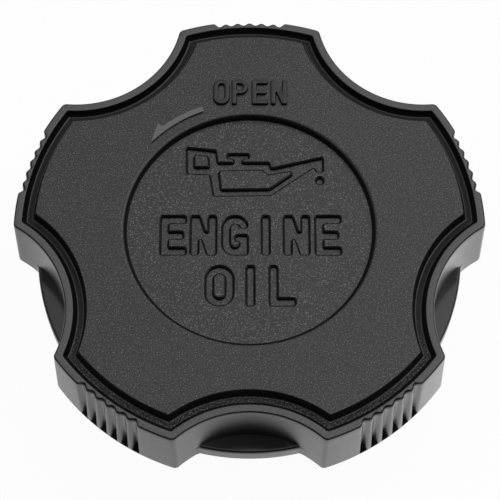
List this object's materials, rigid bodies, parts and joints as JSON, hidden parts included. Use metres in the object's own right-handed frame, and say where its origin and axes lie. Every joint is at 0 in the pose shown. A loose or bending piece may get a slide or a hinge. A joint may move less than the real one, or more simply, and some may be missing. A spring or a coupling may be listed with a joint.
{
  "type": "oil filler cap",
  "caption": "Lobed hand cap that screws into an engine's oil filler neck, with a grooved rim, fluted grips, a round recess on top, a hollow plug and a rubber seal ring.",
  "frame": {"origin": "on the cap's axis, in the plane of the seal ring's lower face, where it meets the rim of the filler neck", "axes": "+Z out of the top of the cap along its axis, +Y through the middle of the lobe beyond the opening arrow, +X to the right of the legend as it is read"},
  "size_m": [0.0674, 0.0658, 0.026],
  "materials": {
    "black_plastic": "fine moulded grain on top, satin walls",
    "seal_rubber": "matt"
  },
  "bodies": {
    "root": {"cap_body": "black_plastic", "seal_ring": "seal_rubber"}
  },
  "joints": []
}
